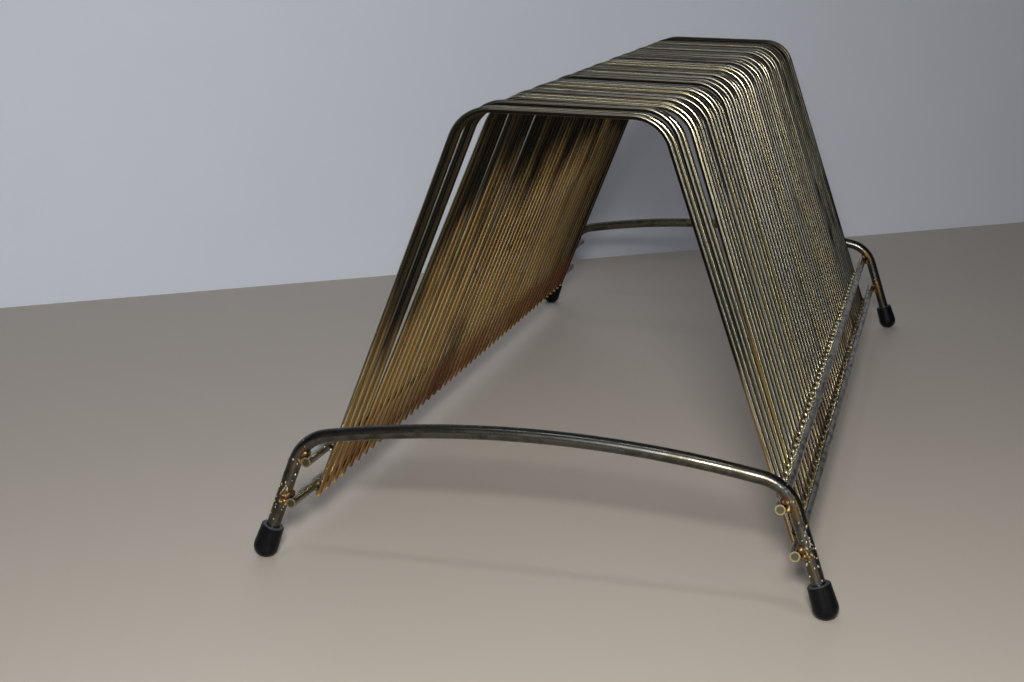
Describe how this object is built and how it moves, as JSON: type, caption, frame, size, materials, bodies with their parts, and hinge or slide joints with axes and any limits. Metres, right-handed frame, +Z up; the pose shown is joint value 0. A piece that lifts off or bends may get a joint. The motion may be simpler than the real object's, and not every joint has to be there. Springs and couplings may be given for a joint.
{
  "type": "record storage stand",
  "caption": "Welded wire stand that keeps records upright between a row of flat-topped hoops, on two arched end frames with rubber feet.",
  "frame": {"origin": "On the surface that the stand rests on, under the middle of its box.", "axes": "X across the stand, Y along the row of hoops from the front frame to the back one, Z up."},
  "size_m": [0.208, 0.464, 0.1638],
  "materials": {
    "frame_wire": "aged brass plating on steel wire, dulled to olive grey",
    "rail_wire": "worn plating on steel wire, dull grey with bare cut ends",
    "hoop_wire": "brass plating on drawn steel wire, polished and tarnished in patches",
    "rubber": "matt black"
  },
  "bodies": {
    "root": {"front_end_frame": "frame_wire", "back_end_frame": "frame_wire", "upper_left_rail": "rail_wire", "upper_right_rail": "rail_wire", "lower_left_rail": "rail_wire", "lower_right_rail": "rail_wire", "front_left_foot": "rubber", "front_right_foot": "rubber", "back_left_foot": "rubber", "back_right_foot": "rubber", "hoop_01": "hoop_wire", "hoop_02": "hoop_wire", "hoop_03": "hoop_wire", "hoop_04": "hoop_wire", "hoop_05": "hoop_wire", "hoop_06": "hoop_wire", "hoop_07": "hoop_wire", "hoop_08": "hoop_wire", "hoop_09": "hoop_wire", "hoop_10": "hoop_wire", "hoop_11": "hoop_wire", "hoop_12": "hoop_wire", "hoop_13": "hoop_wire", "hoop_14": "hoop_wire", "hoop_15": "hoop_wire", "hoop_16": "hoop_wire", "hoop_17": "hoop_wire", "hoop_18": "hoop_wire", "hoop_19": "hoop_wire", "hoop_20": "hoop_wire", "hoop_21": "hoop_wire", "hoop_22": "hoop_wire", "hoop_23": "hoop_wire", "hoop_24": "hoop_wire", "hoop_25": "hoop_wire", "hoop_26": "hoop_wire", "hoop_27": "hoop_wire", "hoop_28": "hoop_wire", "hoop_29": "hoop_wire", "hoop_30": "hoop_wire", "hoop_31": "hoop_wire", "hoop_32": "hoop_wire", "hoop_33": "hoop_wire", "hoop_34": "hoop_wire", "hoop_35": "hoop_wire", "hoop_36": "hoop_wire", "hoop_37": "hoop_wire", "hoop_38": "hoop_wire", "hoop_39": "hoop_wire", "hoop_40": "hoop_wire", "hoop_41": "hoop_wire", "hoop_42": "hoop_wire", "hoop_43": "hoop_wire", "hoop_44": "hoop_wire", "hoop_45": "hoop_wire", "hoop_46": "hoop_wire", "hoop_47": "hoop_wire", "hoop_48": "hoop_wire"}
  },
  "joints": []
}
